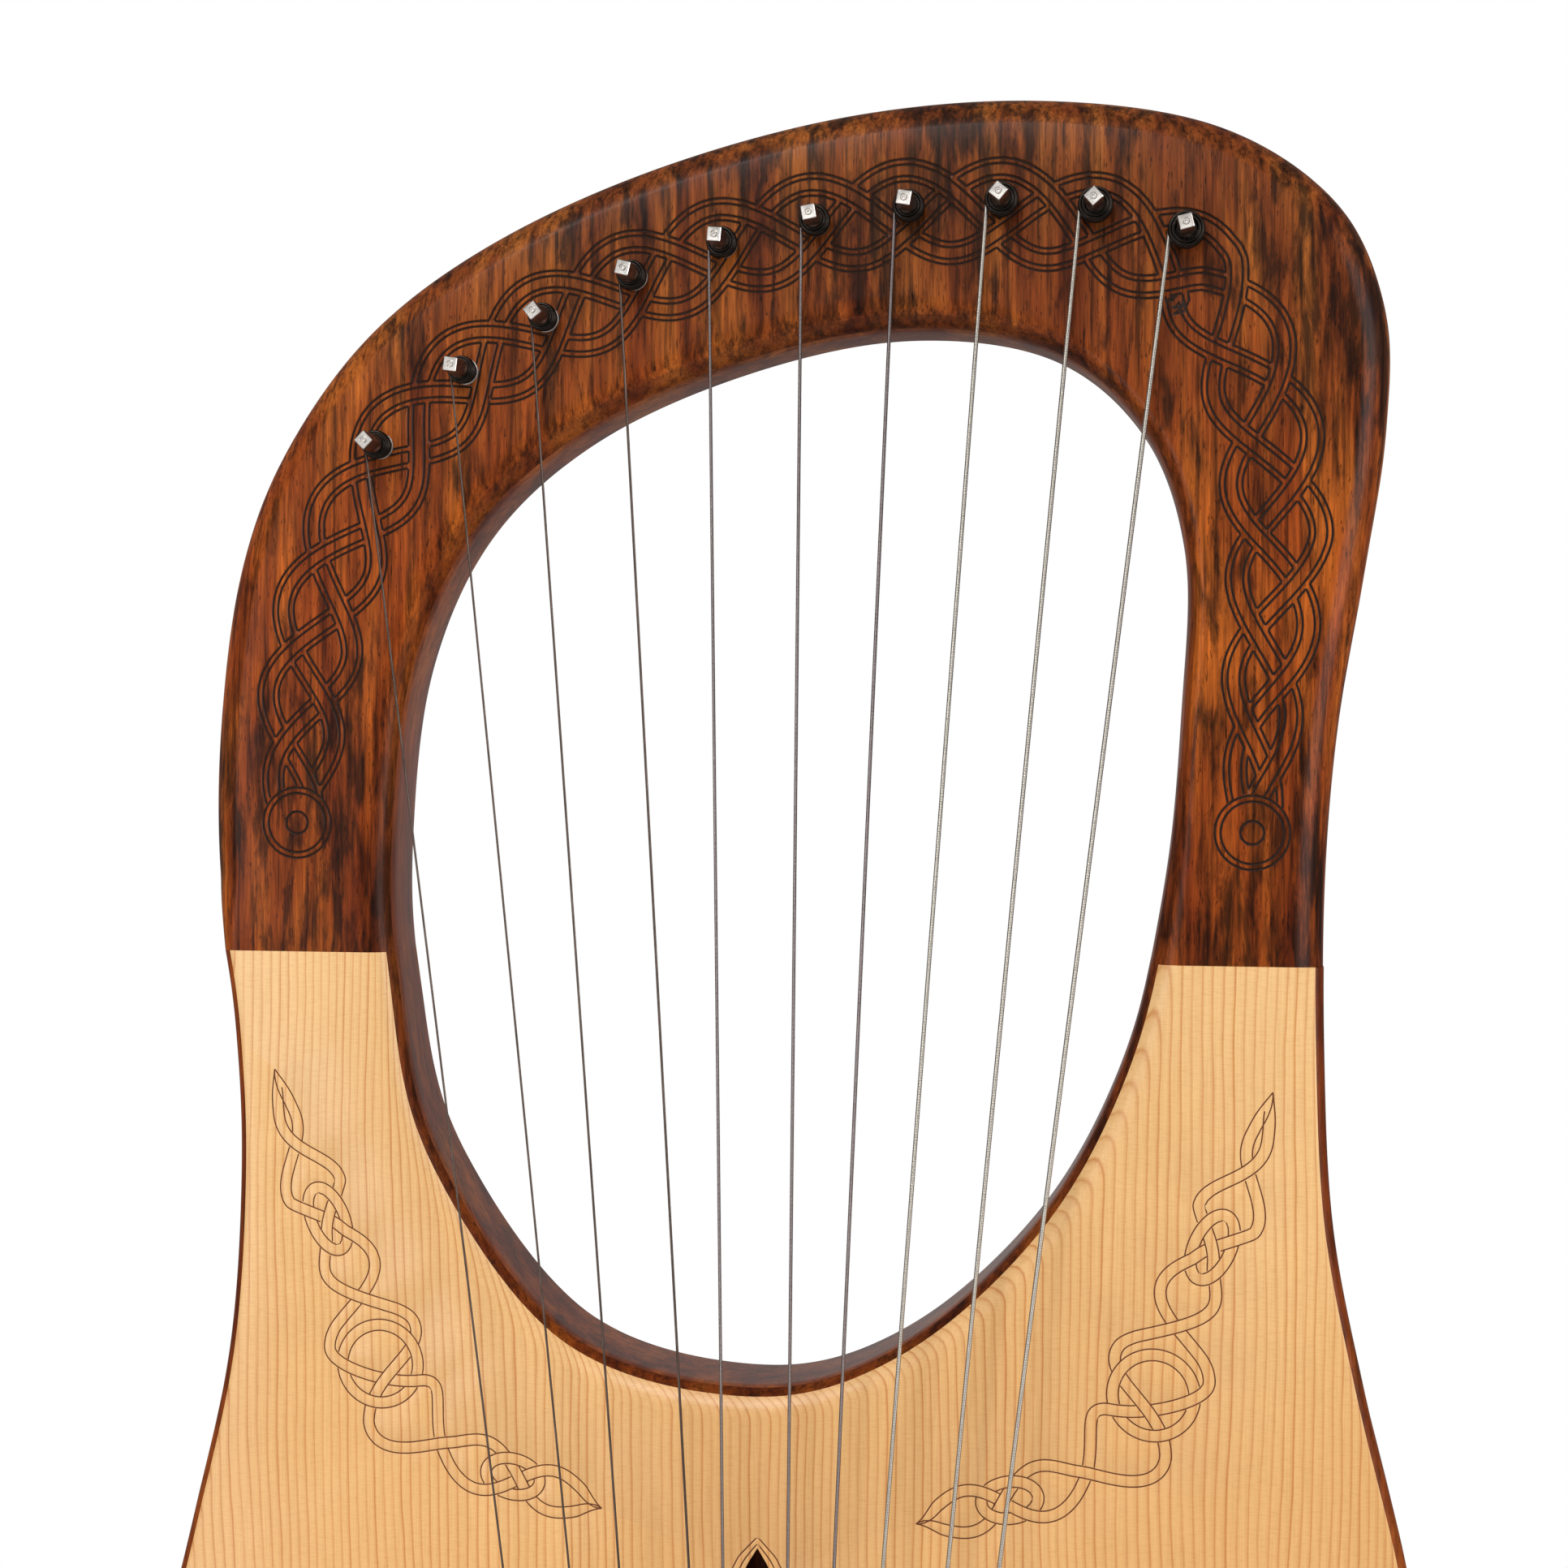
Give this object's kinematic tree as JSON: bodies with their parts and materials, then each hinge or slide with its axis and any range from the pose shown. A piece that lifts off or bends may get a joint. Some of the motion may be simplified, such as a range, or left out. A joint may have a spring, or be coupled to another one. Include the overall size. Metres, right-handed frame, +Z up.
{
  "type": "lyre harp",
  "caption": "Hand lyre harp: solid arched yoke with square-headed tuning pins, hollow wedge-shaped sound box with a pierced rose, raised bridge and wire strings.",
  "frame": {"origin": "middle of the flat foot that the harp stands on", "axes": "+Z up along the harp, +Y from the front face with the strings to the back, +X to the right seen from the front"},
  "size_m": [0.3489, 0.063, 0.5883],
  "materials": {
    "rosewood": "satin lacquered reddish-brown rosewood with dark streaks",
    "spruce_top": "satin lacquered honey-coloured spruce",
    "inner_spruce": "raw planed spruce",
    "bone": "polished bone",
    "brass": "polished brass",
    "nickel_steel": "nickel-plated steel",
    "plain_string": "plain steel wire",
    "wound_string": "steel wire wound with nickel wire",
    "coil_wire": "dark steel wire"
  },
  "bodies": {
    "root": {"yoke": "rosewood", "left_side_rib": "rosewood", "right_side_rib": "rosewood", "bottom_rib": "rosewood", "opening_collar": "rosewood", "back_plate": "rosewood", "soundboard": "spruce_top", "end_block": "inner_spruce", "upper_brace": "inner_spruce", "lower_brace": "inner_spruce", "back_brace_upper": "inner_spruce", "back_brace_lower": "inner_spruce", "bridge_patch": "rosewood", "front_linings": "inner_spruce", "back_linings": "inner_spruce", "bridge": "rosewood", "saddle": "bone", "tail_rail": "rosewood", "rail_screws": "brass", "string_ball_ends": "brass", "string_01": "plain_string", "string_02": "plain_string", "string_03": "plain_string", "string_04": "plain_string", "string_05": "wound_string", "string_06": "wound_string", "string_07": "wound_string", "string_08": "wound_string", "string_09": "wound_string", "string_10": "wound_string"},
    "pin_01": {"tuning_pin_01": "nickel_steel", "string_coil_01": "coil_wire"},
    "pin_02": {"tuning_pin_02": "nickel_steel", "string_coil_02": "coil_wire"},
    "pin_03": {"tuning_pin_03": "nickel_steel", "string_coil_03": "coil_wire"},
    "pin_04": {"tuning_pin_04": "nickel_steel", "string_coil_04": "coil_wire"},
    "pin_05": {"tuning_pin_05": "nickel_steel", "string_coil_05": "coil_wire"},
    "pin_06": {"tuning_pin_06": "nickel_steel", "string_coil_06": "coil_wire"},
    "pin_07": {"tuning_pin_07": "nickel_steel", "string_coil_07": "coil_wire"},
    "pin_08": {"tuning_pin_08": "nickel_steel", "string_coil_08": "coil_wire"},
    "pin_09": {"tuning_pin_09": "nickel_steel", "string_coil_09": "coil_wire"},
    "pin_10": {"tuning_pin_10": "nickel_steel", "string_coil_10": "coil_wire"}
  },
  "joints": [
    {"name": "pin_01_turn", "type": "hinge", "parent": "root", "child": "pin_01", "pos_m": [-0.1035, -0.024, 0.5], "axis": [0, 1, 0], "range_deg": [-990, 45]},
    {"name": "pin_02_turn", "type": "hinge", "parent": "root", "child": "pin_02", "pos_m": [-0.08, -0.024, 0.5195], "axis": [0, 1, 0], "range_deg": [-990, 45]},
    {"name": "pin_03_turn", "type": "hinge", "parent": "root", "child": "pin_03", "pos_m": [-0.058, -0.024, 0.533], "axis": [0, 1, 0], "range_deg": [-990, 45]},
    {"name": "pin_04_turn", "type": "hinge", "parent": "root", "child": "pin_04", "pos_m": [-0.034, -0.024, 0.5435], "axis": [0, 1, 0], "range_deg": [-990, 45]},
    {"name": "pin_05_turn", "type": "hinge", "parent": "root", "child": "pin_05", "pos_m": [-0.01, -0.024, 0.5515], "axis": [0, 1, 0], "range_deg": [-990, 45]},
    {"name": "pin_06_turn", "type": "hinge", "parent": "root", "child": "pin_06", "pos_m": [0.0145, -0.024, 0.5565], "axis": [0, 1, 0], "range_deg": [-990, 45]},
    {"name": "pin_07_turn", "type": "hinge", "parent": "root", "child": "pin_07", "pos_m": [0.039, -0.024, 0.5595], "axis": [0, 1, 0], "range_deg": [-990, 45]},
    {"name": "pin_08_turn", "type": "hinge", "parent": "root", "child": "pin_08", "pos_m": [0.063, -0.024, 0.5605], "axis": [0, 1, 0], "range_deg": [-990, 45]},
    {"name": "pin_09_turn", "type": "hinge", "parent": "root", "child": "pin_09", "pos_m": [0.087, -0.024, 0.5585], "axis": [0, 1, 0], "range_deg": [-990, 45]},
    {"name": "pin_10_turn", "type": "hinge", "parent": "root", "child": "pin_10", "pos_m": [0.11, -0.024, 0.5515], "axis": [0, 1, 0], "range_deg": [-990, 45]}
  ]
}
